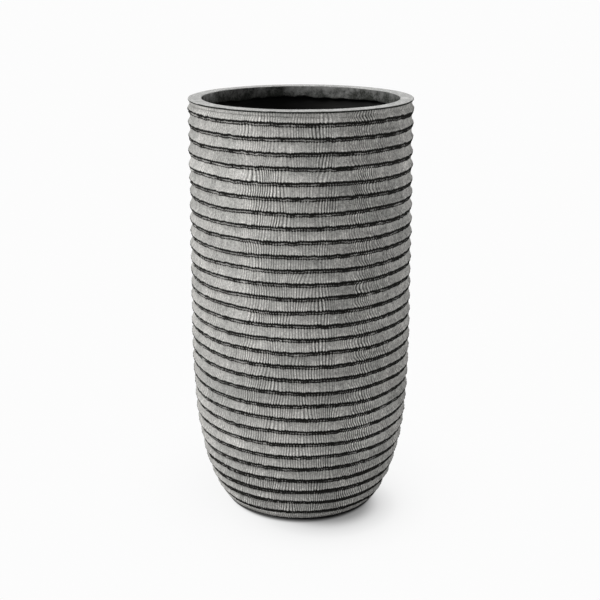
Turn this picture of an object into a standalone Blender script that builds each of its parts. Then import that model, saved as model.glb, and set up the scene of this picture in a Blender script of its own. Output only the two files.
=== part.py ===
"""Tall floor pot of hand-laid fibre clay, its outside moulded in lapped rows.

Metres, +Z up. The origin is the centre of the footprint, at floor level.
The pot is one moulding. It holds a black waterproof lining, a rubber bung in
the drain hole and four rubber pads under its foot ring.
"""

import math

import bmesh
import bpy

# Clearance kept between pieces that touch
CLEARANCE = 0.0003

# Outer form, measured over the lips of the rows
HEIGHT = 0.680
RIM_RADIUS = 0.180
SIDE_LEAN = 0.0072
TUCK_HEIGHT = 0.420
TUCK_DEPTH = 0.0549
TUCK_SHARPNESS = 4.7

# Lapped rows
ROW_COUNT = 31
LOWEST_ROW = 0.019
TOP_ROW = 0.0154
ROW_RECESS = 0.0031
ROW_UNDERCUT = 0.0006
FLARE_HEIGHT = 0.38
FLARE_POWER = 3.5
LIP_ROLL = 0.0014

# Rim and the collar turned in below it
RIM_BEAD = 0.002
RIM_WIDTH = 0.0215
RIM_ROUND = 0.0013
COLLAR_DEPTH = 0.020

# Wall and floor
WALL = 0.012
FLOOR_THICKNESS = 0.014
FLOOR_CORNER = 0.016
UNDERSIDE_DISH = 0.004
FOOT_RING_WIDTH = 0.031
DRAIN_RADIUS = 0.013

# Lining
LINING = 0.002

# Bung, from its tapered shank up to the knob that lifts it
SHANK_TAPER = 0.0015
SHANK_CHAMFER = 0.0012
FLANGE_OVERLAP = 0.006
FLANGE_THICKNESS = 0.003
FLANGE_ROUND = 0.001
KNOB_NECK_RADIUS = 0.0045
KNOB_NECK_HEIGHT = 0.004
KNOB_RADIUS = 0.009
KNOB_THICKNESS = 0.005

# Foot pads
PAD_COUNT = 4
PAD_RADIUS = 0.011
PAD_THICKNESS = 0.0027
PAD_ROUND = 0.0005

# Facets round the axis, steps along the arcs, and stations up the inner wall,
# as shares of its height, closest where the foot is drawn in
POT_FACETS = 36
BUNG_FACETS = 24
PAD_FACETS = 20
RIM_STEPS = 2
KNOB_STEPS = 4
CORNER_STEPS = 3
WALL_STATIONS = (0.06, 0.14, 0.26, 0.45, 0.7)
MERGE_DISTANCE = 0.00001
SHARP_ANGLE = 40

# Heights that follow from the sizes above
BASE = PAD_THICKNESS + CLEARANCE
UNDERSIDE = BASE + UNDERSIDE_DISH
FLOOR_TOP = UNDERSIDE + FLOOR_THICKNESS
COLLAR_BOTTOM = HEIGHT - COLLAR_DEPTH
RIM_INNER_RADIUS = RIM_RADIUS - RIM_WIDTH


def lip_radius(z):
    """Radius over the lips: near straight above, drawn in towards the foot."""
    tuck = TUCK_DEPTH * max(0.0, 1.0 - z / TUCK_HEIGHT) ** TUCK_SHARPNESS
    return RIM_RADIUS + SIDE_LEAN * (HEIGHT - z) - tuck


def lip_heights():
    """Height of each row's lower lip, from the foot up, then the bead under the rim."""
    lowest = BASE + LOWEST_ROW
    highest = HEIGHT - RIM_BEAD - TOP_ROW
    pitch = (highest - lowest) / (ROW_COUNT - 2)
    lips = [BASE]
    lips += [lowest + pitch * row for row in range(ROW_COUNT - 1)]
    lips.append(HEIGHT - RIM_BEAD)
    return lips


def row_profile(lip, root):
    """One row, top to bottom: tucked-in root, late hollow flare, rolled lip, undercut."""
    flare = lip + (root - lip) * FLARE_HEIGHT
    flare_recess = ROW_RECESS * (1.0 - (1.0 - FLARE_HEIGHT) ** FLARE_POWER)
    edge = lip_radius(lip)
    return [
        (lip_radius(root) - ROW_RECESS, root + ROW_UNDERCUT),
        (lip_radius(flare) - flare_recess, flare),
        (edge, lip + LIP_ROLL),
        (edge - LIP_ROLL, lip),
    ]


def arc(centre, radius, start, end, steps):
    """Points on an arc, angles in degrees."""
    points = []
    for step in range(steps + 1):
        angle = math.radians(start + (end - start) * step / steps)
        across = centre[0] + radius * math.cos(angle)
        points.append((across, centre[1] + radius * math.sin(angle)))
    return points


def floor_corner(offset):
    """Rounded corner between floor and wall, from the floor up."""
    floor = FLOOR_TOP + offset
    top = floor + FLOOR_CORNER
    start = (lip_radius(floor) - WALL - offset - FLOOR_CORNER, floor)
    bend = (lip_radius(floor) - WALL - offset, floor)
    end = (lip_radius(top) - WALL - offset, top)
    points = []
    for step in range(CORNER_STEPS + 1):
        t = step / CORNER_STEPS
        weights = ((1 - t) ** 2, 2 * t * (1 - t), t * t)
        guides = list(zip(weights, (start, bend, end)))
        points.append((sum(w * p[0] for w, p in guides), sum(w * p[1] for w, p in guides)))
    return points


def inner_wall(offset, top):
    """Inside of the pot, shrunk by an offset: drain hole, floor, corner, wall up to top."""
    corner = floor_corner(offset)
    points = [(DRAIN_RADIUS, FLOOR_TOP + offset), *corner]
    foot = corner[-1][1]
    for share in WALL_STATIONS:
        z = foot + (top - foot) * share
        points.append((lip_radius(z) - WALL - offset, z))
    points.append((lip_radius(top) - WALL - offset, top))
    return points


def new_object(name, mesh, collection, parent, material):
    """Links a mesh as one named sub-part with its material."""
    obj = bpy.data.objects.new(name, mesh)
    collection.objects.link(obj)
    obj.parent = parent
    mesh.materials.append(material)
    return obj


def turned(name, profile, closed, facets, collection, parent, material):
    """A turned solid: the profile in the XZ plane, run round the axis by a Screw."""
    edges = [(i, i + 1) for i in range(len(profile) - 1)]
    if closed:
        edges.append((len(profile) - 1, 0))
    mesh = bpy.data.meshes.new(name)
    mesh.from_pydata([(x, 0.0, z) for x, z in profile], edges, [])
    obj = new_object(name, mesh, collection, parent, material)
    screw = obj.modifiers.new("Turn", "SCREW")
    screw.axis = "Z"
    screw.steps = facets
    screw.render_steps = facets
    screw.use_smooth_shade = True
    screw.use_merge_vertices = True
    screw.merge_threshold = MERGE_DISTANCE
    obj.modifiers.new("Shading", "WEIGHTED_NORMAL")
    return obj


def plain_material(name, color, roughness):
    """One finish: a Principled shader with the part's colour and gloss."""
    material = bpy.data.materials.new(name)
    material.use_nodes = True
    shader = material.node_tree.nodes["Principled BSDF"]
    shader.inputs["Base Color"].default_value = (*color, 1.0)
    shader.inputs["Roughness"].default_value = roughness
    shader.inputs["Metallic"].default_value = 0.0
    material.diffuse_color = (*color, 1.0)
    return material


def fibre_clay():
    """Weathered grey wash over fibre clay, matt."""
    return plain_material("fibre_clay", (0.33, 0.33, 0.32), 0.8)


def waterproof_coat():
    """Black brushed-on coat inside the pot."""
    return plain_material("waterproof_coat", (0.012, 0.012, 0.012), 0.6)


def black_rubber():
    """Soft black rubber of the bung and the pads."""
    return plain_material("black_rubber", (0.02, 0.02, 0.02), 0.75)


def pot_shell(collection, parent, material):
    """The moulding: rim, lapped rows, foot ring, dished underside, floor, wall, collar."""
    lips = lip_heights()
    profile = arc((RIM_RADIUS - RIM_ROUND, HEIGHT - RIM_ROUND), RIM_ROUND, 90, 0, RIM_STEPS)
    profile.append((RIM_RADIUS, lips[-1]))
    for row in reversed(range(ROW_COUNT)):
        profile += row_profile(lips[row], lips[row + 1])
    ring_inner = lip_radius(BASE) - FOOT_RING_WIDTH
    profile.append((ring_inner, BASE))
    profile.append((ring_inner - UNDERSIDE_DISH, UNDERSIDE))
    profile.append((DRAIN_RADIUS, UNDERSIDE))
    profile += inner_wall(0.0, COLLAR_BOTTOM)
    profile.append((RIM_INNER_RADIUS, COLLAR_BOTTOM))
    profile += arc((RIM_INNER_RADIUS + RIM_ROUND, HEIGHT - RIM_ROUND), RIM_ROUND, 180, 90, RIM_STEPS)
    return turned("pot_shell", profile, True, POT_FACETS, collection, parent, material)


def inner_lining(collection, parent, material):
    """Waterproof lining: follows floor and wall, stops under the collar."""
    top = COLLAR_BOTTOM - CLEARANCE
    profile = inner_wall(CLEARANCE, top)[::-1]
    profile += inner_wall(CLEARANCE + LINING, top)
    return turned("inner_lining", profile, True, POT_FACETS, collection, parent, material)


def drain_plug(collection, parent, seat, material):
    """Bung: tapered shank through floor and lining, flange on the lining, knob on top."""
    shank = DRAIN_RADIUS - CLEARANCE
    tip = shank - SHANK_TAPER
    flange = DRAIN_RADIUS + FLANGE_OVERLAP
    flange_top = CLEARANCE + FLANGE_THICKNESS
    knob_base = flange_top + KNOB_NECK_HEIGHT
    knob_round = KNOB_THICKNESS / 2
    shank_bottom = UNDERSIDE - seat
    profile = [(0.0, knob_base + KNOB_THICKNESS)]
    profile += arc((KNOB_RADIUS - knob_round, knob_base + knob_round), knob_round, 90, -90, KNOB_STEPS)
    profile += [
        (KNOB_NECK_RADIUS, knob_base),
        (KNOB_NECK_RADIUS, flange_top),
        (flange - FLANGE_ROUND, flange_top),
        (flange, flange_top - FLANGE_ROUND),
        (flange, CLEARANCE),
        (shank, CLEARANCE),
        (tip, shank_bottom + SHANK_CHAMFER),
        (tip - SHANK_CHAMFER, shank_bottom),
        (0.0, shank_bottom),
    ]
    return turned("drain_plug", profile, False, BUNG_FACETS, collection, parent, material)


def foot_pad(name, mesh, angle, collection, parent):
    """One pad under the middle of the foot ring."""
    pad = bpy.data.objects.new(name, mesh)
    collection.objects.link(pad)
    pad.parent = parent
    circle = lip_radius(BASE) - (LIP_ROLL + FOOT_RING_WIDTH) / 2
    across = (circle * math.cos(angle), circle * math.sin(angle))
    pad.location = (*across, PAD_THICKNESS / 2)
    edge = pad.modifiers.new("Edge", "BEVEL")
    edge.width = PAD_ROUND
    edge.segments = 1
    return pad


def foot_pads(collection, parent, material):
    """Round pads, evenly spaced, the first half a step round from +X."""
    mesh = bpy.data.meshes.new("foot_pad")
    bm = bmesh.new()
    bmesh.ops.create_cone(
        bm,
        cap_ends=True,
        segments=PAD_FACETS,
        radius1=PAD_RADIUS,
        radius2=PAD_RADIUS,
        depth=PAD_THICKNESS,
    )
    bm.to_mesh(mesh)
    bm.free()
    mesh.shade_smooth()
    mesh.set_sharp_from_angle(angle=math.radians(SHARP_ANGLE))
    mesh.materials.append(material)
    for number in range(PAD_COUNT):
        angle = math.tau * (number + 0.5) / PAD_COUNT
        foot_pad(f"foot_pad_{number + 1}", mesh, angle, collection, parent)


def empty(name, collection, parent=None, height=0.0):
    """A parent point on the pot's axis."""
    point = bpy.data.objects.new(name, None)
    collection.objects.link(point)
    point.parent = parent
    point.location = (0.0, 0.0, height)
    point.empty_display_size = 0.05
    return point


def clear_scene():
    """Removes what the scene holds at the start."""
    for obj in list(bpy.data.objects):
        bpy.data.objects.remove(obj)


def build():
    """Assembles the pot."""
    clear_scene()
    collection = bpy.data.collections.new("floor_pot")
    bpy.context.scene.collection.children.link(collection)
    pot = empty("pot", collection)
    pot_shell(collection, pot, fibre_clay())
    inner_lining(collection, pot, waterproof_coat())
    rubber = black_rubber()
    foot_pads(collection, pot, rubber)
    seat = FLOOR_TOP + CLEARANCE + LINING
    plug_axis = empty("plug_axis", collection, pot, seat)
    drain_plug(collection, plug_axis, seat, rubber)


build()
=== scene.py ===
import math

import bpy
import numpy as np
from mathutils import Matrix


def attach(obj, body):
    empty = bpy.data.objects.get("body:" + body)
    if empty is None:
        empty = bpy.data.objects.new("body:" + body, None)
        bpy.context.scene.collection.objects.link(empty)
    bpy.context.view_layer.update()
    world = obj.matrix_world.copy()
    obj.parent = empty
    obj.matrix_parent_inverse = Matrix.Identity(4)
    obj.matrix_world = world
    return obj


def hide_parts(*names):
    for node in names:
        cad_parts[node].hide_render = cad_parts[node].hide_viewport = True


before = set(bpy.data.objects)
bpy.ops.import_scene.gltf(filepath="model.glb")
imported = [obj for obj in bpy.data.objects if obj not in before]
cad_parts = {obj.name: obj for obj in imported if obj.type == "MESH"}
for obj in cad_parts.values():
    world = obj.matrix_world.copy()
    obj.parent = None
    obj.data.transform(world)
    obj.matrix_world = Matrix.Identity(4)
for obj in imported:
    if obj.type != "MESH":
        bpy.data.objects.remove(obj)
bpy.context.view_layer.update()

# The lapped rows: thirty-one hand-laid bands of fibre clay that make the pot's side.
# Each flares out to a rolled lip over the band below, and a thin bead of clay is
# pressed into every seam. A grey wash covers the bands, and the seams keep the dark ground.
RIM_RADIUS = 0.180
RIM_TOP = 0.680
RIM_EDGE = 0.002
SIDE_LEAN = 0.0072
TUCK_HEIGHT = 0.420
TUCK_DEPTH = 0.0549
TUCK_SHARPNESS = 4.7
ROW_COUNT = 31
FOOT_LIP = 0.003
FOOT_CLEAR = 0.0005
LOWEST_LIP = 0.022
HIGHEST_LIP = 0.6626
COLUMNS = 1200
HOOP_CUTS = 8
STROKES = 262
STROKE_DEPTH = 0.45
HIDDEN_DEPTH = 3.5
FOOT_BULGE = 2.2
BULGE_REACH = 0.065
LOW_ROWS = 0.13
MM = 0.001

# How one row is cut: what each point hangs from (0 the seam above, 1 its own lip), the
# height from there in mm, the depth behind the lips in mm, how much dark ground shows, how
# deeply the comb scored, how far the seam's own bead sways the point, and the wash's tone
ROW_CUT = (
    (0.00, 2.2, 8.0, 1.10, 0.0, 0.0, 1.00),
    (0.00, -1.8, 4.6, 1.10, 0.1, 0.0, 1.00),
    (0.00, -2.3, 3.0, 1.10, 0.4, 0.1, 0.80),
    (0.00, -2.8, 2.25, 0.96, 0.4, 0.5, 0.70),
    (0.00, -3.4, 1.75, 0.60, 0.5, 0.9, 0.68),
    (0.00, -4.1, 1.6, 0.42, 0.55, 1.0, 0.68),
    (0.00, -4.8, 1.75, 0.52, 0.6, 1.0, 0.68),
    (0.00, -5.4, 2.15, 0.92, 0.65, 0.8, 0.72),
    (0.00, -6.1, 2.5, 1.08, 0.8, 0.5, 0.80),
    (0.00, -6.9, 2.75, 0.86, 1.0, 0.3, 0.90),
    (0.00, -7.7, 2.95, 0.22, 1.1, 0.1, 1.00),
    (0.40, 0.0, 3.5, 0.02, 1.0, 0.0, 1.00),
    (0.57, 0.0, 3.4, 0.00, 1.0, 0.0, 1.00),
    (1.00, 6.6, 3.0, 0.04, 1.0, 0.0, 1.00),
    (1.00, 5.5, 2.4, 0.08, 1.0, 0.0, 1.00),
    (1.00, 4.4, 1.55, 0.10, 1.0, 0.0, 0.98),
    (1.00, 3.4, 0.8, 0.04, 1.0, 0.0, 1.00),
    # The lip's crest is paler, with dark below 0 and a tone above 1: a painted highlight
    (1.00, 2.5, 0.3, -0.08, 1.1, 0.0, 1.06),
    (1.00, 1.7, 0.06, -0.06, 1.1, 0.0, 1.07),
    (1.00, 1.0, 0.0, 0.36, 1.0, 0.0, 1.00),
    (1.00, 0.3, 0.05, 0.96, 1.0, 0.0, 0.90),
    (1.00, -0.7, 0.2, 1.15, 0.7, 0.0, 0.80),
    (1.00, -1.7, 0.75, 1.20, 0.2, 0.0, 0.80),
    (1.00, -2.1, 2.2, 1.20, 0.0, 0.0, 0.80),
    (1.00, -0.6, 8.0, 1.10, 0.0, 0.0, 1.00),
)

# The top of the highest row, which goes in under the rim with no bead in the crease
UNDER_RIM = (
    (0.00, -0.1, 8.0, 1.10, 0.0, 0.0, 1.00),
    (0.00, -0.2, 4.6, 1.10, 0.0, 0.0, 1.00),
    (0.00, -0.4, 2.9, 1.10, 0.2, 0.0, 1.00),
    (0.00, -0.8, 2.3, 1.05, 0.4, 0.0, 1.00),
    (0.00, -1.2, 2.1, 0.80, 0.6, 0.0, 1.00),
    (0.00, -1.7, 2.05, 0.25, 0.8, 0.0, 1.00),
    (0.00, -2.4, 2.1, 0.05, 0.9, 0.0, 1.00),
    (0.00, -3.2, 2.2, 0.02, 1.0, 0.0, 1.00),
    (0.00, -4.2, 2.3, 0.00, 1.0, 0.0, 1.00),
    (0.00, -5.2, 2.45, 0.00, 1.0, 0.0, 1.00),
    (0.00, -6.4, 2.6, 0.00, 1.0, 0.0, 1.00),
)

# The lowest row from the middle of its band down: rounded under to a dark arris just off
# the floor
FOOT_CUT = (
    (0.40, 0.0, 0.6, 0.02, 1.0, 0.0, 1.00),
    (0.57, 0.0, 0.1, 0.00, 1.0, 0.0, 1.00),
    (1.00, 6.6, -0.7, 0.04, 1.0, 0.0, 1.00),
    (1.00, 5.5, -0.7, 0.06, 1.0, 0.0, 1.00),
    (1.00, 4.4, -0.5, 0.06, 1.0, 0.0, 1.00),
    (1.00, 3.4, -0.1, 0.04, 1.0, 0.0, 1.00),
    (1.00, 2.5, 0.35, 0.04, 1.0, 0.0, 1.00),
    (1.00, 1.6, 0.9, 0.06, 1.0, 0.0, 1.00),
    (1.00, 0.9, 1.4, 0.14, 1.0, 0.0, 1.00),
    (1.00, 0.1, 1.8, 0.55, 0.8, 0.0, 0.90),
    (1.00, -1.0, 2.2, 1.20, 0.5, 0.0, 0.80),
    (1.00, -2.5, 2.8, 1.20, 0.2, 0.0, 0.80),
    (1.00, 0.0, 3.9, 1.20, 0.0, 0.0, 0.80),
    (1.00, 1.8, 8.0, 1.10, 0.0, 0.0, 1.00),
)

# How the rows were laid: at each height in metres, how far they rise from level in mm, how
# far they climb to the left of the front, how far both sides rise, and how wide the seams are
LAID = (
    (0.00, 0.0, 0.0, 0.0, 0.82),
    (0.03, 0.5, 0.2, 0.2, 0.94),
    (0.07, 1.4, 0.9, 0.6, 1.18),
    (0.18, 2.3, 2.1, 2.2, 1.05),
    (0.29, 2.7, 1.8, 1.7, 1.02),
    (0.40, 1.3, 0.2, 1.3, 1.00),
    (0.51, -0.2, 0.1, -0.3, 0.97),
    (0.61, 1.2, 1.2, -0.6, 0.94),
    (0.68, 0.0, 0.0, 0.0, 0.94),
)

# Where the comb was drawn down the clay, going round from the front, in degrees: the
# middle, half the width, how strongly it scored, and how far the strokes at the patch's
# left and right ends bow, in strokes
COMBED = (
    (-17.5, 12.0, 0.72, 0.0, 0.0),
    (-1.0, 6.5, 0.55, 0.0, 0.0),
    (11.5, 5.0, 0.85, 0.2, -0.8),
    (31.5, 6.8, 1.00, 1.1, 0.0),
    (44.0, 7.0, 0.45, 0.2, 0.0),
    (64.0, 8.0, 0.35, 0.3, 0.0),
    (97.0, 11.0, 0.70, 0.0, -0.6),
    (128.0, 8.0, 0.80, 0.7, 0.0),
    (158.0, 12.0, 0.75, 0.0, -0.8),
    (-164.0, 7.0, 0.85, 0.9, 0.0),
    (-136.0, 12.0, 0.70, 0.0, -0.4),
    (-104.0, 8.0, 0.60, 0.6, 0.0),
    (-56.0, 12.0, 0.30, 0.0, 0.0),
)

# Where the wash went on thicker: the middle and half the width, in degrees from the front,
# how much paler, and the heights where that starts and where it is full, in metres
PALER = (
    (-32.0, 16.0, 0.14, 0.28, 0.43),
    (37.0, 15.0, 0.32, 0.42, 0.17),
    (8.0, 14.0, 0.09, 0.25, 0.10),
)


def lip_radius(height):
    """Radius over the lips: near straight above, drawn in towards the foot."""
    tuck = TUCK_DEPTH * np.maximum(0.0, 1.0 - height / TUCK_HEIGHT) ** TUCK_SHARPNESS
    return RIM_RADIUS + SIDE_LEAN * (RIM_TOP - height) - tuck


def wander(seed, slowest, fastest):
    """A smooth random wander round the pot, of spread 1, that meets itself after one turn."""
    chance = np.random.default_rng(seed)
    waves = np.zeros(COLUMNS // 2 + 1, complex)
    count = fastest + 1 - slowest
    waves[slowest : fastest + 1] = chance.normal(size=count) + 1j * chance.normal(size=count)
    path = np.fft.irfft(waves, COLUMNS)
    return path / path.std()


def turned_ring(name, outline, turns):
    """A closed ring: an outline of (radius, height) points run once round the pot's axis.

    Gives the ring, and each vertex's column round the pot and point of the outline.
    """
    bpy.ops.object.select_all(action="DESELECT")
    bpy.ops.mesh.primitive_circle_add(vertices=len(outline), radius=0.01, fill_type="NOTHING")
    ring = bpy.context.object
    mesh = ring.data
    ring.name = name
    mesh.name = name
    for vertex, (across, height) in zip(mesh.vertices, outline):
        vertex.co = (across, 0.0, height)
    marks = mesh.attributes.new("outline_point", "FLOAT", "POINT")
    marks.data.foreach_set("value", np.arange(len(outline), dtype=np.float32))
    bpy.context.tool_settings.mesh_select_mode = (False, True, False)
    bpy.ops.object.mode_set(mode="EDIT")
    bpy.ops.mesh.select_all(action="SELECT")
    bpy.ops.mesh.spin(steps=turns // HOOP_CUTS, angle=math.tau, center=(0, 0, 0), axis=(0, 0, 1))
    bpy.ops.mesh.select_all(action="SELECT")
    bpy.ops.mesh.remove_doubles(threshold=0.00003)
    bpy.ops.mesh.select_all(action="DESELECT")
    bpy.ops.object.mode_set(mode="OBJECT")

    # The hoops, which run round, are cut finer, and then every vertex is put on its circle
    point = np.empty(len(mesh.vertices), np.float32)
    mesh.attributes["outline_point"].data.foreach_get("value", point)
    ends = np.empty(len(mesh.edges) * 2, np.int32)
    mesh.edges.foreach_get("vertices", ends)
    point = np.rint(point).astype(int)
    mesh.edges.foreach_set("select", point[ends[0::2]] == point[ends[1::2]])
    bpy.ops.object.mode_set(mode="EDIT")
    bpy.ops.mesh.subdivide(number_cuts=HOOP_CUTS - 1)
    bpy.ops.mesh.select_all(action="SELECT")
    bpy.ops.mesh.normals_make_consistent(inside=False)
    bpy.ops.object.mode_set(mode="OBJECT")
    point = np.empty(len(mesh.vertices), np.float32)
    mesh.attributes["outline_point"].data.foreach_get("value", point)
    mesh.attributes.remove(mesh.attributes["outline_point"])
    point = np.rint(point).astype(int)
    places = np.empty(len(mesh.vertices) * 3)
    mesh.vertices.foreach_get("co", places)
    turn = np.arctan2(places[1::3], places[0::3])
    column = np.rint(turn / math.tau * turns).astype(int) % turns
    across, height = np.array(outline)[point].T
    turn = column * math.tau / turns
    exact = np.stack([across * np.cos(turn), across * np.sin(turn), height], 1)
    mesh.vertices.foreach_set("co", exact.ravel())
    return ring, column, point


def spread_of(angle, middle, half_width):
    """1 across a combed patch, easing to 0 past its edges, and the place in it, from -1 to 1."""
    away = ((angle - middle + 180.0) % 360.0 - 180.0) / half_width
    return np.exp(-(away ** 6)), np.clip(away, -1.0, 1.0)


lip_line = [FOOT_LIP]
lip_line += [LOWEST_LIP + (HIGHEST_LIP - LOWEST_LIP) * row / (ROW_COUNT - 2) for row in range(ROW_COUNT - 1)]
lip_line.append(RIM_TOP - RIM_EDGE)

# The seams wander as they were laid by hand; the foot and the rim's edge run true. The
# lowest rows stand out further, most at the first lip, and this fades out upwards.
column_angle = np.arange(COLUMNS) * (math.tau / COLUMNS)
front_angle = np.degrees(np.arctan2(np.cos(column_angle), -np.sin(column_angle)))
to_right = np.sin(np.radians(front_angle))
# edge is how near a column is to the outline seen from the front, and shaded is how far it is turned from
# the left lamp: above 0 on the right, below 0 on the front left. Both paint shade and light into the seams'
# colour below.
edge = np.abs(to_right)
shaded = np.where(to_right < 0.0, 0.9 * np.sin(np.radians(2.0 * front_angle)), to_right)
laid_height, laid_rise, laid_climb, laid_sides, seam_width = np.array(LAID).T
seam_drop = []
seam_push = []
for seam in range(ROW_COUNT + 1):
    sway = 0.45 * wander(100 + seam, 2, 9) + 0.28 * wander(200 + seam, 24, 90)
    sway += 0.13 * wander(300 + seam, 120, 420)
    sway += np.interp(lip_line[seam], laid_height, laid_rise)
    sway -= np.interp(lip_line[seam], laid_height, laid_climb) * to_right
    sway += np.interp(lip_line[seam], laid_height, laid_sides) * to_right ** 4
    push = 0.34 * wander(400 + seam, 2, 12) + 0.20 * wander(500 + seam, 30, 110)
    push += 0.11 * wander(600 + seam, 130, 420)
    if seam > 0:
        push += FOOT_BULGE * math.exp(-(((lip_line[seam] - LOWEST_LIP) / BULGE_REACH) ** 2))
    if seam in (0, ROW_COUNT):
        sway = 0.15 * sway
        push = 0.3 * push
    seam_drop.append(sway * MM)
    seam_push.append(push * MM)

# The ring that every row is copied from, cut at the pot's middle height
middle_row = ROW_COUNT // 2
pitch = lip_line[middle_row + 1] - lip_line[middle_row]
outline = []
for hangs, rise, depth, _, _, _, _ in ROW_CUT:
    height = lip_line[middle_row + 1] - hangs * pitch + rise * MM
    outline.append((lip_radius(height) - depth * MM, height))
pattern_ring, column_of, point_of = turned_ring("row_pattern", outline, COLUMNS)
corner_vertex = np.empty(len(pattern_ring.data.loops), np.int32)
pattern_ring.data.loops.foreach_get("vertex_index", corner_vertex)


def corner_columns(columns, turns):
    """Each face corner's column, counted on past the last where a face crosses the start."""
    column = columns.reshape(-1, 4)
    crosses = (column.max(axis=1) - column.min(axis=1)) > turns // 2
    return np.where(crosses[:, None] & (column == 0), turns, column).ravel()


corner_column = corner_columns(column_of[corner_vertex], COLUMNS)
corner_point = point_of[corner_vertex]


def washed_clay(name, pale, drab, ground, ground_from, ground_to, streaky):
    """Fibre clay under a grey wash: the dark ground shows where the wash didn't reach. The same mix also
    carries painted shade and painted highlights.
    """
    material = bpy.data.materials.new(name)
    material.use_nodes = True
    nodes = material.node_tree.nodes
    links = material.node_tree.links
    shader = nodes["Principled BSDF"]

    def node(kind, **values):
        made = nodes.new(kind)
        for key, value in values.items():
            setattr(made, key, value)
        return made

    def maths(operation, first, second=None, third=None):
        made = node("ShaderNodeMath", operation=operation)
        for socket, value in zip(made.inputs, (first, second, third)):
            if value is None:
                continue
            if isinstance(value, (int, float)):
                socket.default_value = value
            else:
                links.new(value, socket)
        return made.outputs[0]

    def noise(vector, scale, detail, roughness):
        made = node("ShaderNodeTexNoise")
        made.inputs["Scale"].default_value = scale
        made.inputs["Detail"].default_value = detail
        made.inputs["Roughness"].default_value = roughness
        links.new(vector, made.inputs["Vector"])
        return made.outputs["Fac"]

    def blend(factor, first, second, kind="MIX"):
        made = node("ShaderNodeMix", data_type="RGBA", blend_type=kind)
        for socket, value in zip((made.inputs[0], made.inputs[6], made.inputs[7]), (factor, first, second)):
            if isinstance(value, (int, float)):
                socket.default_value = value
            elif isinstance(value, tuple):
                socket.default_value = (*value, 1.0)
            else:
                links.new(value, socket)
        return made.outputs[2]

    def spread(value, low, high, to_low=0.0, to_high=1.0):
        made = node("ShaderNodeMapRange", interpolation_type="SMOOTHSTEP")
        for socket, given in zip(made.inputs, (value, low, high, to_low, to_high)):
            if isinstance(given, (int, float)):
                socket.default_value = given
            else:
                links.new(given, socket)
        return made.outputs[0]

    def sway(value, amount):
        """A factor round 1 that follows a noise."""
        return maths("MULTIPLY_ADD", value, amount, 1.0 - 0.5 * amount)

    def swing(value, amount):
        """A noise brought to swing round 0."""
        return maths("MULTIPLY_ADD", value, amount, -0.5 * amount)

    position = node("ShaderNodeTexCoord").outputs["Object"]
    ground_and_shading = node("ShaderNodeAttribute", attribute_name="ground_and_shading").outputs["Fac"]
    scored = node("ShaderNodeAttribute", attribute_name="scored").outputs["Fac"]
    wash_and_highlight = node("ShaderNodeAttribute", attribute_name="wash_and_highlight").outputs["Fac"]
    lay = node("ShaderNodeSeparateXYZ")
    links.new(node("ShaderNodeUVMap", uv_map="lay").outputs["UV"], lay.inputs[0])
    down_band = node("ShaderNodeCombineXYZ")
    links.new(maths("MULTIPLY", lay.outputs["X"], 2.0), down_band.inputs["X"])
    links.new(maths("MULTIPLY", lay.outputs["Y"], 1.1), down_band.inputs["Y"])

    cloud = noise(position, 16.0, 3.0, 0.55)
    blotch = noise(position, 62.0, 3.0, 0.6)
    grain = noise(position, 270.0, 3.0, 0.7)
    speck = noise(position, 860.0, 2.0, 0.6)
    streak = noise(down_band.outputs[0], 1.0, 3.0, 0.6)
    turn = maths("MULTIPLY", lay.outputs["X"], math.tau)
    wave = maths("MULTIPLY_ADD", maths("COSINE", turn), 0.5, 0.5)
    cut = maths("MULTIPLY", scored, sway(streak, 1.5))
    groove = maths("MULTIPLY", maths("POWER", wave, 2.0), cut)
    ridge = maths("MULTIPLY", maths("POWER", maths("SUBTRACT", 1.0, wave), 2.0), cut)

    bareness_and_shading = maths("MULTIPLY_ADD", groove, 0.52, ground_and_shading)
    bareness_and_shading = maths("MULTIPLY_ADD", ridge, -0.62, bareness_and_shading)
    rough = 0.35 + 0.85 * streaky
    smudge = 0.9 * (1.0 - streaky)
    for pattern, amount in ((grain, rough), (speck, rough), (cloud, smudge), (blotch, smudge)):
        bareness_and_shading = maths("ADD", bareness_and_shading, swing(pattern, amount))
    ground_plus_shading = spread(bareness_and_shading, ground_from, ground_to)

    # The tone is mottled more strongly towards the right, the side turned from the left lamp: painted
    # shading of the clay's relief in the grazing light
    place = node("ShaderNodeSeparateXYZ")
    links.new(position, place.inputs[0])
    shade_side_mottle = maths("MULTIPLY", spread(place.outputs["X"], -0.02, 0.10), streaky)
    uneven = maths("MULTIPLY_ADD", blotch, 0.5, maths("MULTIPLY_ADD", grain, 1.0, -0.75))

    wash = blend(spread(cloud, 0.38, 0.62), pale, drab)
    tone = wash_and_highlight
    for factor in (
        sway(grain, 1.7),
        sway(speck, 1.9),
        sway(blotch, 0.40),
        sway(streak, 0.65 * streaky),
        maths("MULTIPLY_ADD", shade_side_mottle, uneven, 1.0),
        # Where the dark wash settled, the comb's grooves are dulled. The ridges are lifted: a painted
        # highlight.
        maths("MULTIPLY_ADD", groove, -0.33, 1.0),
        maths("MULTIPLY_ADD", ridge, 0.47, 1.0),
    ):
        tone = maths("MULTIPLY", tone, factor)
    shade = node("ShaderNodeCombineColor")
    for socket in shade.inputs:
        links.new(tone, socket)
    toned = blend(1.0, wash, shade.outputs[0], "MULTIPLY")
    links.new(blend(ground_plus_shading, toned, ground), shader.inputs["Base Color"])

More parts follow.
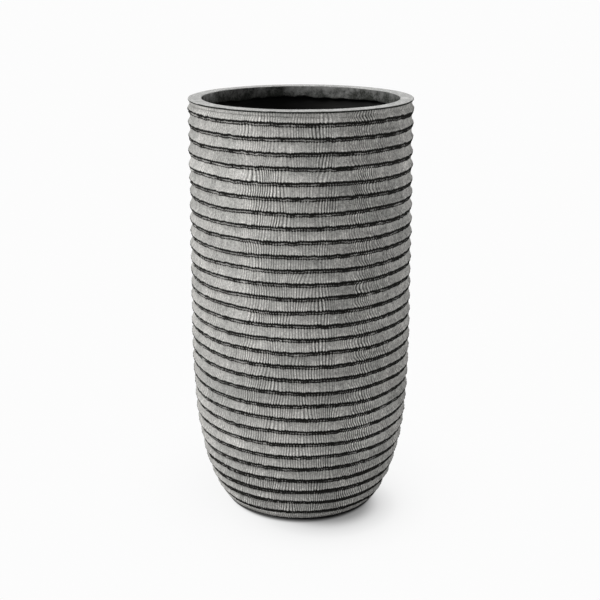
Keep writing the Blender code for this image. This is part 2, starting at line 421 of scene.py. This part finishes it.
    links.new(spread(speck, 0.3, 0.7, 0.74, 0.92), shader.inputs["Roughness"])
    relief = maths("MULTIPLY_ADD", grain, 0.9, maths("MULTIPLY", speck, 0.5))
    relief = maths("ADD", relief, maths("MULTIPLY", streak, 0.8 * streaky))
    relief = maths("MULTIPLY_ADD", groove, -0.7, relief)
    bump = node("ShaderNodeBump")
    bump.inputs["Strength"].default_value = 0.85
    bump.inputs["Distance"].default_value = 0.0014
    links.new(relief, bump.inputs["Height"])
    links.new(bump.outputs["Normal"], shader.inputs["Normal"])
    links.new(maths("MULTIPLY_ADD", ground_plus_shading, -0.22, 0.22), shader.inputs["Specular IOR Level"])
    return material


row_wash = washed_clay(
    "row_wash", (0.43, 0.422, 0.405), (0.36, 0.358, 0.342), (0.022, 0.022, 0.0204), 0.26, 0.82, 1.0
)

for row in range(ROW_COUNT):
    chance = np.random.default_rng(5000 + row)
    top = lip_line[row + 1] + seam_drop[row + 1]
    lip = lip_line[row] + seam_drop[row]
    cut = ROW_CUT
    if row == 0:
        cut = ROW_CUT[: -len(FOOT_CUT)] + FOOT_CUT
    if row == ROW_COUNT - 1:
        cut = UNDER_RIM + ROW_CUT[len(UNDER_RIM) :]

    # The bead in the seam above this row: how far it stands out, and how low it sits
    bead_out = 0.26 * wander(700 + row, 8, 40) + 0.30 * wander(800 + row, 60, 260)
    bead_low = 0.26 * wander(900 + row, 6, 40) + 0.20 * wander(1000 + row, 60, 300)
    bead_dark = 0.16 * wander(1100 + row, 8, 50) + 0.11 * wander(1200 + row, 60, 300)
    # Painted shade: the beads darken on the side turned from the left lamp and towards the outline seen from
    # the front. They are also darker in the lowest rows.
    bead_dark += 0.02 + 0.06 * shaded + 0.32 * edge ** 10
    bead_dark += 0.6 * np.maximum(0.0, 1.0 - top / LOW_ROWS)
    bead_dark += 0.2 * np.clip((0.46 - top) / 0.2, 0.0, 1.0)
    bead_rubbed = np.zeros(COLUMNS)
    for knot in range(chance.integers(5, 10)):
        away = (front_angle - chance.uniform(-180, 180) + 180) % 360 - 180
        knob = np.exp(-((away / chance.uniform(0.5, 1.1)) ** 2))
        bead_out += chance.uniform(0.7, 1.4) * knob
        bead_low += chance.uniform(-0.2, 0.9) * knob
        bead_dark -= 0.35 * knob
        bead_rubbed += chance.uniform(0.1, 0.7) * knob
    for rub in range(chance.integers(3, 7)):
        away = (front_angle - chance.uniform(-180, 180) + 180) % 360 - 180
        worn = np.exp(-((away / chance.uniform(1.5, 4.0)) ** 2))
        bead_dark -= chance.uniform(0.15, 0.45) * worn
        bead_rubbed += chance.uniform(0.0, 0.6) * worn

    # The comb's strokes down the band, and how the wash was taken up
    score = np.zeros(COLUMNS)
    bow = np.zeros(COLUMNS)
    wider = 1.0 + 0.9 * (1.0 - lip / RIM_TOP) ** 3
    for middle, half_width, strength, left_bow, right_bow in COMBED:
        width = half_width * wider * chance.uniform(0.75, 1.25)
        patch, place = spread_of(front_angle, middle + chance.normal() * 1.4, width)
        score = np.maximum(score, strength * chance.uniform(0.4, 1.15) * patch)
        bow += chance.uniform(0.5, 1.1) * patch * np.interp(place, (-1.0, 1.0), (left_bow, right_bow))
    score = score * (0.88 + 0.14 * wander(1300 + row, 10, 60)) + 0.22 + 0.09 * wander(1400 + row, 5, 30)
    score = np.clip(score, 0.05, 1.25)
    slip = 0.30 * wander(1500 + row, 3, 24) + chance.uniform(0.0, 1.0)
    swell = 0.22 * wander(1600 + row, 3, 24)
    dent = 0.06 * wander(1700 + row, 40, 140)
    lean = 0.5 * wander(1800 + row, 3, 20)
    taken = 1.0 + 0.055 * chance.normal() + 0.030 * wander(1900 + row, 2, 12)
    taken += 0.030 * wander(2000 + row, 14, 60)
    for middle, half_width, paler, at, full in PALER:
        patch = np.exp(-(((front_angle - middle) / half_width) ** 2))
        taken += paler * patch * np.clip((lip - at) / (full - at), 0.0, 1.0)

    wanted = np.zeros((COLUMNS, len(ROW_CUT), 3))
    ground_and_shading = np.zeros((COLUMNS, len(ROW_CUT)))
    scored = np.zeros((COLUMNS, len(ROW_CUT)))
    wash_and_highlight = np.ones((COLUMNS, len(ROW_CUT)))
    stroke = np.zeros((COLUMNS + 1, len(ROW_CUT)))
    fall = np.zeros((COLUMNS, len(ROW_CUT)))
    seam_scale = np.interp(top, laid_height, seam_width)
    seam_scale = seam_scale * (1.0 + 0.8 * edge * np.maximum(0.0, 1.0 - top / LOW_ROWS))
    for point, (hangs, rise, depth, dark, comb, bead, tone) in enumerate(cut):
        # Towards the outline seen from the front the lip darkens up over its crest: painted shade
        if hangs == 1 and 1.0 <= rise < 3.0:
            dark = dark + 0.8 * edge ** (12.0 * rise ** 1.2)
        if hangs == 0:
            rise = rise * seam_scale
        lowest = FOOT_LIP if depth > HIDDEN_DEPTH else FOOT_CLEAR
        height = top * (1.0 - hangs) + lip * hangs + rise * MM - bead * bead_low * MM
        push = seam_push[row + 1] * (1.0 - hangs) + seam_push[row] * hangs
        down = np.clip((top - height) / (top - lip), 0.0, 1.0)
        arc = 1.0 - (2.0 * down - 1.0) ** 2
        phase = STROKES * column_angle / math.tau + slip + bow * arc + lean * down
        groove = (0.5 + 0.5 * np.cos(math.tau * phase)) ** 2.0
        out = bead * bead_out - comb * score * groove * STROKE_DEPTH
        if point > 1:
            out = out + comb * (swell * arc + dent)
        radius = lip_radius(height) + push - (depth - out) * MM
        wanted[:, point, 0] = radius * np.cos(column_angle)
        wanted[:, point, 1] = radius * np.sin(column_angle)
        wanted[:, point, 2] = np.maximum(height, lowest)
        # The shaded term darkens the seams on the side turned from the left lamp and lightens them on the
        # front left: painted shade and painted light.
        ground_and_shading[:, point] = dark + bead * bead_dark + 0.35 * shaded * dark * np.maximum(0.0, 1.2 - dark)
        wash_and_highlight[:, point] = tone * taken * (1.0 + bead * bead_rubbed)
        scored[:, point] = comb * score
        fall[:, point] = down
        stroke[:COLUMNS, point] = phase
        stroke[COLUMNS, point] = phase[0] + STROKES

    mesh = pattern_ring.data.copy()
    mesh.name = f"lapped_row_{row + 1:02d}"
    piece = bpy.data.objects.new(mesh.name, mesh)
    bpy.context.scene.collection.objects.link(piece)
    mesh.vertices.foreach_set("co", wanted[column_of, point_of].ravel())
    for name, values in (("ground_and_shading", ground_and_shading), ("scored", scored), ("wash_and_highlight", wash_and_highlight)):
        layer = mesh.attributes.new(name, "FLOAT", "POINT")
        layer.data.foreach_set("value", values[column_of, point_of])
    lay = mesh.uv_layers.new(name="lay")
    across = stroke[corner_column, corner_point]
    along = fall[corner_column % COLUMNS, corner_point]
    lay.uv.foreach_set("vector", np.stack([across, 1.0 - along], 1).ravel())
    mesh.shade_smooth()
    mesh.materials.append(row_wash)
    mesh.update()
    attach(piece, "pot")
    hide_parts("pot_shell")
bpy.data.objects.remove(pattern_ring)

# The rim and its collar: the flat, smooth top of the moulding, trowelled by hand, with
# rounded arrises. The collar turned in below it keeps more of the dark ground.
COLLAR_BOTTOM = 0.660
RIM_INNER = 0.1585
RIM_ROUND = 0.0013
RIM_TURNS = 720
RIM_IN_WALL = 0.1690
LAY_HEIGHT = 0.02
COLLAR_DARK = 0.475
FACE_DARK = -0.08
EDGE_DARK = 1.2


def rim_outline():
    """The rim's section, over the top from its outer edge to the collar and back in the wall."""
    points = [(RIM_IN_WALL, 0.6772), (0.1782, 0.6776)]
    for step in range(7):
        angle = math.radians(-70 + 160 * step / 6)
        across = RIM_RADIUS - RIM_ROUND + RIM_ROUND * math.cos(angle)
        points.append((across, RIM_TOP - RIM_ROUND + RIM_ROUND * math.sin(angle)))
    for share in (0.2, 0.4, 0.6, 0.8):
        points.append((RIM_RADIUS - RIM_ROUND + share * (RIM_INNER - RIM_RADIUS + 2 * RIM_ROUND), RIM_TOP))
    for step in range(5):
        angle = math.radians(90 + 90 * step / 4)
        across = RIM_INNER + RIM_ROUND + RIM_ROUND * math.cos(angle)
        points.append((across, RIM_TOP - RIM_ROUND + RIM_ROUND * math.sin(angle)))
    for share in (0.2, 0.4, 0.6, 0.8, 0.92):
        points.append((RIM_INNER, RIM_TOP - RIM_ROUND - share * (RIM_TOP - RIM_ROUND - COLLAR_BOTTOM)))
    points += [(RIM_INNER + 0.0006, COLLAR_BOTTOM), (RIM_INNER + 0.004, COLLAR_BOTTOM + 0.0004)]
    points += [(RIM_IN_WALL, COLLAR_BOTTOM + 0.001)]
    return points


rim, rim_column, _ = turned_ring("rim_and_collar", rim_outline(), RIM_TURNS)
places = np.empty(len(rim.data.vertices) * 3)
rim.data.vertices.foreach_get("co", places)
places = places.reshape(-1, 3)
turn_of = np.arctan2(places[:, 1], places[:, 0])
reach = np.hypot(places[:, 0], places[:, 1])
ring_angle = np.append(column_angle, math.tau)


def round_the_pot(values, angles):
    """Reads a wander at any angles."""
    return np.interp(angles % math.tau, ring_angle, np.append(values, values[0]))


low = np.clip((RIM_TOP - 0.004 - places[:, 2]) / (RIM_TOP - 0.004 - COLLAR_BOTTOM), 0.0, 1.0)
inner = reach < RIM_INNER + 0.008
trail = wander(31, 2, 7) + 0.6 * wander(32, 9, 40)
places[:, 2] += np.where(inner, low ** 2 * round_the_pot(trail, turn_of) * MM, 0.0)
dish = 0.25 * wander(33, 3, 16) * MM
face = inner & (places[:, 2] < RIM_TOP - RIM_ROUND)
new_reach = reach + np.where(face, round_the_pot(dish, turn_of) * (0.3 + low), 0.0)
level = 0.12 * wander(34, 2, 14) * MM
top_face = places[:, 2] > RIM_TOP - RIM_ROUND * 1.2
places[:, 2] += np.where(top_face, np.minimum(round_the_pot(level, turn_of), 0.0003), 0.0)
places[:, 0] *= new_reach / reach
places[:, 1] *= new_reach / reach
rim.data.vertices.foreach_set("co", places.ravel())
# The rim's rounded arrises are made paler: a painted highlight.
arris = np.maximum(
    np.exp(-(((reach - RIM_RADIUS + 0.0006) / 0.0012) ** 2)) * (places[:, 2] > RIM_TOP - 0.0014),
    np.exp(-(((reach - RIM_INNER - 0.0006) / 0.0010) ** 2)) * (places[:, 2] > RIM_TOP - 0.0008),
)
# The collar shows more dark ground, and grows darker the deeper it goes into the mouth: painted shade under
# the rim.
dark = np.where(inner & (places[:, 2] < RIM_TOP - 0.0010), COLLAR_DARK + 0.2 * low, FACE_DARK)
dark = np.where((reach > 0.165) & (places[:, 2] < RIM_TOP - 0.0006), EDGE_DARK, dark)
taken = 1.0 + 0.02 * round_the_pot(wander(35, 3, 30), turn_of)
for name, values in (("ground_and_shading", dark - 0.3 * arris), ("scored", np.zeros(len(reach))), ("wash_and_highlight", taken)):
    layer = rim.data.attributes.new(name, "FLOAT", "POINT")
    layer.data.foreach_set("value", values)
corner_vertex = np.empty(len(rim.data.loops), np.int32)
rim.data.loops.foreach_get("vertex_index", corner_vertex)
across = corner_columns(rim_column[corner_vertex], RIM_TURNS) * (STROKES / RIM_TURNS)
along = (RIM_TOP - places[corner_vertex, 2]) / LAY_HEIGHT
lay = rim.data.uv_layers.new(name="lay")
lay.uv.foreach_set("vector", np.stack([across, along], 1).ravel())
rim.data.shade_smooth()
rim.data.materials.append(
    washed_clay("rim_wash", (0.46, 0.46, 0.45), (0.42, 0.42, 0.41), (0.033, 0.035, 0.031), 0.05, 0.75, 0.25)
)
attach(rim, "pot")
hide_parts("pot_shell")

# The body behind the rows: wall, floor, foot ring and dished underside of the same
# moulding, bare fibre clay as it leaves the mould. The rows are laid on its outside.
UNDERSIDE = 0.007
FLOOR_TOP = 0.021
WALL = 0.012
FLOOR_CORNER = 0.016
FOOT_RING = 0.031
BODY_TOP = 0.6768
BEHIND_ROWS = 0.0062
DRAIN_RADIUS = 0.013
SHARP_EDGE = math.radians(40)
BODY_TURNS = 240


def inside_outline(offset, top, stations):
    """The inside from the drain hole over the floor and corner up the wall, set in by offset."""
    floor = FLOOR_TOP + offset
    corner_top = floor + FLOOR_CORNER
    start = lip_radius(floor) - WALL - offset
    points = [(DRAIN_RADIUS, floor), (0.05, floor), (start - FLOOR_CORNER, floor)]
    for step in range(1, 7):
        share = step / 6
        across = (1 - share) ** 2 * (start - FLOOR_CORNER) + 2 * share * (1 - share) * start
        across += share * share * (lip_radius(corner_top) - WALL - offset)
        points.append((across, floor + share * share * FLOOR_CORNER))
    for step in range(1, stations + 1):
        height = corner_top + (top - corner_top) * step / stations
        points.append((lip_radius(height) - WALL - offset, height))
    return points


foot_radius = lip_radius(FOOT_LIP)
body_outline = [(foot_radius - FOOT_RING, FOOT_LIP), (foot_radius - 0.004, FOOT_LIP)]
for step in range(1, 17):
    height = FOOT_LIP + (BODY_TOP - FOOT_LIP) * step / 16
    body_outline.append((lip_radius(height) - BEHIND_ROWS, height))
body_outline += inside_outline(0.0, BODY_TOP, 24)[::-1]
body_outline += [
    (DRAIN_RADIUS, UNDERSIDE),
    (0.05, UNDERSIDE),
    (foot_radius - FOOT_RING - 0.008, UNDERSIDE),
    (foot_radius - FOOT_RING - 0.003, UNDERSIDE - 0.0008),
]
body, _, _ = turned_ring("pot_body", body_outline, BODY_TURNS)
body.data.shade_smooth()
bpy.ops.object.select_all(action="DESELECT")
body.select_set(True)
bpy.context.view_layer.objects.active = body
bpy.ops.object.shade_smooth_by_angle(angle=SHARP_EDGE)


def bare_clay():
    """Bare fibre clay: drab grey, with chopped fibres and small pits."""
    material = bpy.data.materials.new("bare_clay")
    material.use_nodes = True
    nodes = material.node_tree.nodes
    links = material.node_tree.links
    shader = nodes["Principled BSDF"]
    position = nodes.new("ShaderNodeTexCoord").outputs["Object"]
    cloud = nodes.new("ShaderNodeTexNoise")
    cloud.inputs["Scale"].default_value = 22.0
    cloud.inputs["Detail"].default_value = 5.0
    fibre = nodes.new("ShaderNodeTexVoronoi")
    fibre.feature = "DISTANCE_TO_EDGE"
    fibre.inputs["Scale"].default_value = 240.0
    links.new(position, cloud.inputs["Vector"])
    links.new(position, fibre.inputs["Vector"])
    ramp = nodes.new("ShaderNodeValToRGB")
    ramp.color_ramp.elements[0].position = 0.35
    ramp.color_ramp.elements[0].color = (0.075, 0.077, 0.07, 1.0)
    ramp.color_ramp.elements[1].position = 0.68
    ramp.color_ramp.elements[1].color = (0.16, 0.16, 0.15, 1.0)
    links.new(cloud.outputs["Fac"], ramp.inputs["Fac"])
    links.new(ramp.outputs["Color"], shader.inputs["Base Color"])
    shader.inputs["Roughness"].default_value = 0.88
    shader.inputs["Specular IOR Level"].default_value = 0.25
    bump = nodes.new("ShaderNodeBump")
    bump.inputs["Strength"].default_value = 0.5
    bump.inputs["Distance"].default_value = 0.0004
    links.new(fibre.outputs["Distance"], bump.inputs["Height"])
    links.new(bump.outputs["Normal"], shader.inputs["Normal"])
    return material


body.data.materials.append(bare_clay())
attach(body, "pot")
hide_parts("pot_shell")

# The lining: a black waterproof coat brushed over the floor and wall, up to the collar.
# It shows the round strokes of the brush, and its top edge is level.
LINING = 0.002
SKIN_GAP = 0.0003
LINING_TOP = 0.6597
lining_outline = inside_outline(SKIN_GAP + LINING, LINING_TOP, 40)
lining_outline += inside_outline(SKIN_GAP, LINING_TOP, 12)[::-1]
lining, _, _ = turned_ring("brushed_lining", lining_outline, BODY_TURNS)
bpy.ops.object.shade_smooth_by_angle(angle=SHARP_EDGE)


def brushed_coat():
    """Black bitumen-like coat, brushed round the pot, satin where it is thick."""
    material = bpy.data.materials.new("brushed_coat")
    material.use_nodes = True
    nodes = material.node_tree.nodes
    links = material.node_tree.links
    shader = nodes["Principled BSDF"]
    position = nodes.new("ShaderNodeTexCoord").outputs["Object"]
    stretch = nodes.new("ShaderNodeMapping")
    stretch.inputs["Scale"].default_value = (1.0, 1.0, 14.0)
    links.new(position, stretch.inputs["Vector"])
    strokes = nodes.new("ShaderNodeTexNoise")
    strokes.inputs["Scale"].default_value = 18.0
    strokes.inputs["Detail"].default_value = 5.0
    links.new(stretch.outputs["Vector"], strokes.inputs["Vector"])
    ramp = nodes.new("ShaderNodeValToRGB")
    ramp.color_ramp.elements[0].position = 0.35
    ramp.color_ramp.elements[0].color = (0.0078, 0.0078, 0.0072, 1.0)
    ramp.color_ramp.elements[1].position = 0.7
    ramp.color_ramp.elements[1].color = (0.0165, 0.0165, 0.0153, 1.0)
    links.new(strokes.outputs["Fac"], ramp.inputs["Fac"])
    links.new(ramp.outputs["Color"], shader.inputs["Base Color"])
    gloss = nodes.new("ShaderNodeMapRange")
    gloss.inputs["To Min"].default_value = 0.5
    gloss.inputs["To Max"].default_value = 0.75
    links.new(strokes.outputs["Fac"], gloss.inputs["Value"])
    links.new(gloss.outputs["Result"], shader.inputs["Roughness"])
    shader.inputs["Specular IOR Level"].default_value = 0.2
    bump = nodes.new("ShaderNodeBump")
    bump.inputs["Strength"].default_value = 0.5
    bump.inputs["Distance"].default_value = 0.0006
    links.new(strokes.outputs["Fac"], bump.inputs["Height"])
    links.new(bump.outputs["Normal"], shader.inputs["Normal"])
    return material


lining.data.materials.append(brushed_coat())
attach(lining, "pot")
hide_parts("inner_lining")

# The bung: a moulded rubber stopper in the drain hole, pushed down until its flange lies
# on the lined floor. Three ribs round its shank seal, and a ribbed knob is there to grip.
LINED_FLOOR = FLOOR_TOP + SKIN_GAP + LINING
BUNG_SIDES = 96
BUNG_RIBS = 24
KNOB = (LINED_FLOOR + 0.0080, LINED_FLOOR + 0.0116)
KNOB_SIDE = 0.0085
BETWEEN_RIBS = 0.93
RUBBER_EDGE = math.radians(50)
BUNG_OUTLINE = (
    (6.0, -14.8), (6.6, -15.9), (7.2, -16.3), (10.0, -16.3), (11.0, -15.5), (11.3, -15.0),
    (11.4, -12.8), (12.3, -12.4), (12.4, -11.9), (11.5, -11.5), (11.6, -9.3), (12.45, -8.9),
    (12.55, -8.4), (11.7, -8.0), (11.8, -5.8), (12.6, -5.4), (12.7, -4.9), (11.9, -4.5),
    (12.0, -0.7), (12.2, -0.2), (12.7, 0.0), (18.3, 0.0), (18.8, 0.3), (19.0, 0.9),
    (19.0, 2.2), (18.7, 2.9), (18.1, 3.3), (15.0, 3.4), (14.7, 3.8), (13.5, 3.8),
    (13.2, 3.4), (7.5, 3.4), (5.8, 3.7), (4.8, 4.4), (4.5, 5.4), (4.5, 6.6),
    (5.0, 7.2), (8.0, 7.3), (8.7, 7.7), (9.0, 8.4), (9.0, 9.8), (9.0, 11.2),
    (8.8, 11.8), (8.3, 12.2), (7.4, 12.3), (6.0, 12.1), (3.0, 11.6), (0.4, 11.5),
)


def drawn_up(name, sides, outline, rest):
    """A closed round form, extruded ring by ring from the middle of its underside.

    The outline is in mm: each ring's radius, and its height above rest.
    """
    bpy.ops.object.select_all(action="DESELECT")
    across, level = outline[0]
    bpy.ops.mesh.primitive_circle_add(
        vertices=sides, radius=across * MM, fill_type="TRIFAN", location=(0.0, 0.0, rest + level * MM)
    )
    form = bpy.context.object
    form.name = name
    form.data.name = name
    bpy.ops.object.transform_apply(location=True, rotation=True, scale=True)
    bpy.ops.object.mode_set(mode="EDIT")
    bpy.ops.mesh.select_all(action="SELECT")
    for wider, higher in outline[1:]:
        bpy.ops.mesh.extrude_region_move(TRANSFORM_OT_translate={"value": (0, 0, (higher - level) * MM)})
        bpy.ops.transform.resize(value=(wider / across, wider / across, 1.0), center_override=(0, 0, 0))
        across, level = wider, higher
    bpy.ops.mesh.select_all(action="SELECT")
    bpy.ops.mesh.normals_make_consistent(inside=False)
    bpy.ops.object.mode_set(mode="OBJECT")
    return form


def moulded_rubber():
    """Black rubber from a mould: a fine pebbled skin, with pale dust caught in it."""
    material = bpy.data.materials.new("moulded_rubber")
    material.use_nodes = True
    nodes = material.node_tree.nodes
    links = material.node_tree.links
    shader = nodes["Principled BSDF"]
    position = nodes.new("ShaderNodeTexCoord").outputs["Object"]
    dust = nodes.new("ShaderNodeTexNoise")
    dust.inputs["Scale"].default_value = 240.0
    dust.inputs["Detail"].default_value = 6.0
    dust.inputs["Roughness"].default_value = 0.7
    pebble = nodes.new("ShaderNodeTexVoronoi")
    pebble.inputs["Scale"].default_value = 1900.0
    links.new(position, dust.inputs["Vector"])
    links.new(position, pebble.inputs["Vector"])
    ramp = nodes.new("ShaderNodeValToRGB")
    ramp.color_ramp.elements[0].position = 0.45
    ramp.color_ramp.elements[0].color = (0.014, 0.014, 0.015, 1.0)
    ramp.color_ramp.elements[1].position = 0.80
    ramp.color_ramp.elements[1].color = (0.075, 0.072, 0.068, 1.0)
    links.new(dust.outputs["Fac"], ramp.inputs["Fac"])
    links.new(ramp.outputs["Color"], shader.inputs["Base Color"])
    gloss = nodes.new("ShaderNodeMapRange")
    gloss.inputs["To Min"].default_value = 0.48
    gloss.inputs["To Max"].default_value = 0.78
    links.new(dust.outputs["Fac"], gloss.inputs["Value"])
    links.new(gloss.outputs["Result"], shader.inputs["Roughness"])
    bump = nodes.new("ShaderNodeBump")
    bump.inputs["Strength"].default_value = 0.5
    bump.inputs["Distance"].default_value = 0.00012
    links.new(pebble.outputs["Distance"], bump.inputs["Height"])
    links.new(bump.outputs["Normal"], shader.inputs["Normal"])
    return material


rubber = moulded_rubber()
bung = drawn_up("rubber_bung", BUNG_SIDES, BUNG_OUTLINE, LINED_FLOOR)
places = np.empty(len(bung.data.vertices) * 3)
bung.data.vertices.foreach_get("co", places)
places = places.reshape(-1, 3)
side = np.rint(np.arctan2(places[:, 1], places[:, 0]) / math.tau * BUNG_SIDES).astype(int) % BUNG_SIDES
from_axis = np.hypot(places[:, 0], places[:, 1])
on_knob = (from_axis > KNOB_SIDE) & (places[:, 2] > KNOB[0]) & (places[:, 2] < KNOB[1])
between_ribs = on_knob & (side % (BUNG_SIDES // BUNG_RIBS) >= 2)
bpy.context.tool_settings.mesh_select_mode = (True, False, False)
bpy.ops.object.mode_set(mode="EDIT")
bpy.ops.mesh.select_all(action="DESELECT")
bpy.ops.object.mode_set(mode="OBJECT")
bung.data.vertices.foreach_set("select", between_ribs)
bpy.ops.object.mode_set(mode="EDIT")
bpy.ops.transform.resize(value=(BETWEEN_RIBS, BETWEEN_RIBS, 1.0), center_override=(0, 0, 0))
bpy.ops.object.mode_set(mode="OBJECT")
bpy.ops.object.shade_smooth_by_angle(angle=RUBBER_EDGE)
bung.data.materials.append(rubber)
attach(bung, "bung")
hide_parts("drain_plug")

# The foot pads: four moulded rubber discs glued under the foot ring, with a ring groove
# and a hollow middle in the face that stands on the floor.
PAD_SIDES = 72
PAD_INSET = 0.0162
PAD_OUTLINE = (
    (3.0, 0.5), (3.6, 0.35), (4.0, 0.0), (6.6, 0.0), (6.9, 0.4), (7.7, 0.4), (8.0, 0.0),
    (10.3, 0.0), (10.8, 0.15), (11.0, 0.5), (11.0, 2.1), (10.9, 2.5), (10.5, 2.7), (0.4, 2.7),
)
pad_circle = foot_radius - PAD_INSET
pattern_pad = drawn_up("pad_pattern", PAD_SIDES, PAD_OUTLINE, 0.0)
for number in range(4):
    turn = math.radians(45 + 90 * number)
    mesh = pattern_pad.data.copy()
    mesh.name = f"rubber_pad_{number + 1}"
    pad = bpy.data.objects.new(mesh.name, mesh)
    bpy.context.scene.collection.objects.link(pad)
    bpy.ops.object.select_all(action="DESELECT")
    pad.select_set(True)
    bpy.context.view_layer.objects.active = pad
    bpy.ops.object.mode_set(mode="EDIT")
    bpy.ops.mesh.select_all(action="SELECT")
    bpy.ops.transform.translate(value=(pad_circle * math.cos(turn), pad_circle * math.sin(turn), 0.0))
    bpy.ops.object.mode_set(mode="OBJECT")
    bpy.ops.object.shade_smooth_by_angle(angle=RUBBER_EDGE)
    mesh.materials.append(rubber)
    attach(pad, "pot")
    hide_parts(f"foot_pad_{number + 1}")
bpy.data.objects.remove(pattern_pad)

# The floor and the light: a pale floor that runs out to white, a large soft lamp from the
# left, weaker ones from above and from behind on the right, and an even sky. The dark line
# and the soft shade round the foot are in the floor's paint, which only the camera sees.
WHITE = 0.975
FOOT_EDGE = 0.1334
FADE_REACH = 0.4
FADE_WIDTH = 1.037

# Where the shade round the foot ends: a place on the floor, and how white the floor has
# become at each distance from there, in metres
FADES = (
    ((0.001, -0.013), ((0.1228, 0.0), (0.1285, 0.93), (0.134, 0.99), (0.140, 1.0))),
    ((0.000, 0.014), ((0.118, 0.1), (0.124, 0.35), (0.130, 0.70), (0.137, 1.0))),
    (
        (0.042, -0.066),
        ((0.069, 0.23), (0.084, 0.53), (0.098, 0.76), (0.112, 0.83),
         (0.130, 0.95), (0.155, 0.98), (0.190, 1.0)),
    ),
)
bpy.ops.mesh.primitive_plane_add(size=120.0, location=(0.0, 0.0, 0.0))
floor = bpy.context.object
floor.name = "studio_floor"
material = bpy.data.materials.new("studio_floor")
material.use_nodes = True
nodes = material.node_tree.nodes
links = material.node_tree.links
shader = nodes["Principled BSDF"]
shader.inputs["Roughness"].default_value = 1.0
shader.inputs["Specular IOR Level"].default_value = 0.0
path = nodes.new("ShaderNodeLightPath")
paint = nodes.new("ShaderNodeMix")
paint.data_type = "RGBA"
paint.inputs[6].default_value = (0.6, 0.6, 0.6, 1.0)
paint.inputs[7].default_value = (0.12, 0.12, 0.12, 1.0)
links.new(path.outputs["Is Camera Ray"], paint.inputs[0])
links.new(paint.outputs[2], shader.inputs["Base Color"])
glow = nodes.new("ShaderNodeEmission")
glow.inputs["Color"].default_value = (1.0, 1.0, 1.0, 1.0)
glow.inputs["Strength"].default_value = WHITE
position = nodes.new("ShaderNodeTexCoord").outputs["Object"]
widened = nodes.new("ShaderNodeVectorMath")
widened.operation = "MULTIPLY"
widened.inputs[1].default_value = (FADE_WIDTH, 1.0, 1.0)
links.new(position, widened.inputs[0])


def floor_maths(operation, first, second):
    """One sum in the floor's material, with a socket or a number as the second value."""
    made = nodes.new("ShaderNodeMath")
    made.operation = operation
    links.new(first, made.inputs[0])
    if isinstance(second, float):
        made.inputs[1].default_value = second
    else:
        links.new(second, made.inputs[1])
    return made.outputs[0]


def away_from(place):
    """How far the floor's point is from a place on it, in metres."""
    made = nodes.new("ShaderNodeVectorMath")
    made.operation = "DISTANCE"
    made.inputs[1].default_value = (*place, 0.0)
    links.new(widened.outputs["Vector"], made.inputs[0])
    return made.outputs["Value"]


seen = floor_maths("GREATER_THAN", away_from((0.0, 0.0)), FOOT_EDGE)
for middle, stops in FADES:
    fade = nodes.new("ShaderNodeValToRGB")
    fade.color_ramp.interpolation = "B_SPLINE"
    while len(fade.color_ramp.elements) < len(stops):
        fade.color_ramp.elements.new(0.5)
    for stop, (distance, white) in zip(fade.color_ramp.elements, stops):
        stop.position = distance / FADE_REACH
        stop.color = (white, white, white, 1.0)
    links.new(floor_maths("DIVIDE", away_from(middle), FADE_REACH), fade.inputs["Fac"])
    seen = floor_maths("MULTIPLY", seen, fade.outputs["Color"])
seen = floor_maths("MULTIPLY", seen, path.outputs["Is Camera Ray"])
mix = nodes.new("ShaderNodeMixShader")
links.new(seen, mix.inputs[0])
links.new(shader.outputs[0], mix.inputs[1])
links.new(glow.outputs[0], mix.inputs[2])
links.new(mix.outputs[0], nodes["Material Output"].inputs["Surface"])
floor.data.materials.append(material)


def soft_lamp(name, azimuth, height, strength, width):
    """A far soft lamp. Azimuth goes round from the front to the right, height is up from
    level, and width is how wide the lamp looks, all in degrees."""
    data = bpy.data.lights.new(name, "SUN")
    data.energy = strength
    data.angle = math.radians(width)
    lamp = bpy.data.objects.new(name, data)
    bpy.context.scene.collection.objects.link(lamp)
    lamp.rotation_euler = (math.radians(90 - height), 0.0, math.radians(azimuth))


soft_lamp("left_lamp", -68, 38, 2.95, 30)
soft_lamp("top_lamp", 170, 66, 0.95, 50)
soft_lamp("back_lamp", 112, 25, 0.92, 60)

world = bpy.data.worlds.new("studio")
bpy.context.scene.world = world
world.use_nodes = True
nodes = world.node_tree.nodes
links = world.node_tree.links
sky = nodes["Background"]
sky.inputs["Color"].default_value = (1.0, 1.0, 1.0, 1.0)
path = nodes.new("ShaderNodeLightPath")
level = nodes.new("ShaderNodeMapRange")
level.inputs["To Min"].default_value = 0.22
level.inputs["To Max"].default_value = WHITE
links.new(path.outputs["Is Camera Ray"], level.inputs["Value"])
links.new(level.outputs["Result"], sky.inputs["Strength"])

# The camera stands where the photograph was taken from
camera_data = bpy.data.cameras.new("camera")
camera_data.lens = 69.62
camera_data.sensor_width = 36.0
camera_data.clip_end = 200.0
camera = bpy.data.objects.new("camera", camera_data)
bpy.context.scene.collection.objects.link(camera)
camera.location = (-0.0014, -1.868, 0.902)
camera.rotation_euler = (math.radians(73.28), 0.0, 0.0)
bpy.context.scene.camera = camera
bpy.context.scene.view_settings.view_transform = "Standard"
